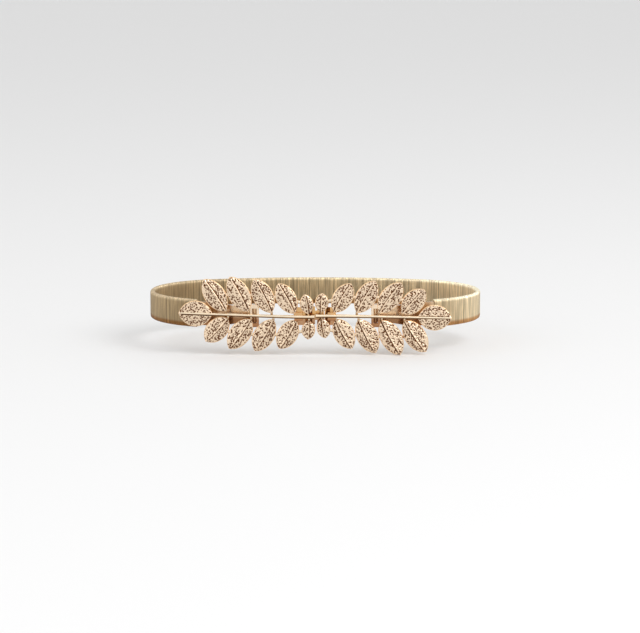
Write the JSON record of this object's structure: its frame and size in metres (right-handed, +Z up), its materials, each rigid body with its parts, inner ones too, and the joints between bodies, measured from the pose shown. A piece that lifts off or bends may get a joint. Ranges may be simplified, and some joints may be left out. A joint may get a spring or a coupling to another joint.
{
  "type": "curtain tieback",
  "caption": "Oval curtain tieback: two leaf spray castings that hinge on the ends of a flat coiled spring band and clasp together in front.",
  "frame": {"origin": "middle of the loop in plan, at half the height of the band", "axes": "+X to the right seen from the front, the leaf sprays face -Y, +Z up through the loop"},
  "size_m": [0.18, 0.1067, 0.0416],
  "materials": {
    "leaf_gold": "grained pale gold plating",
    "clasp_gold": "polished gold plating",
    "band_gold": "satin gold plating"
  },
  "bodies": {
    "loop": {"spring_band": "band_gold", "left_end_clip": "band_gold", "right_end_clip": "band_gold"},
    "left_half": {"left_branch": "leaf_gold", "hook_plate": "clasp_gold", "left_hinge_pin": "clasp_gold"},
    "right_half": {"right_branch": "leaf_gold", "catch_plate": "clasp_gold", "right_hinge_pin": "clasp_gold"}
  },
  "joints": [
    {"name": "left_branch_swing", "type": "hinge", "parent": "loop", "child": "left_half", "pos_m": [-0.032, -0.04811, 0], "axis": [0, 0, 1], "range_deg": [0, 60]},
    {"name": "right_branch_swing", "type": "hinge", "parent": "loop", "child": "right_half", "pos_m": [0.032, -0.04811, 0], "axis": [0, 0, 1], "range_deg": [0, 12]}
  ]
}
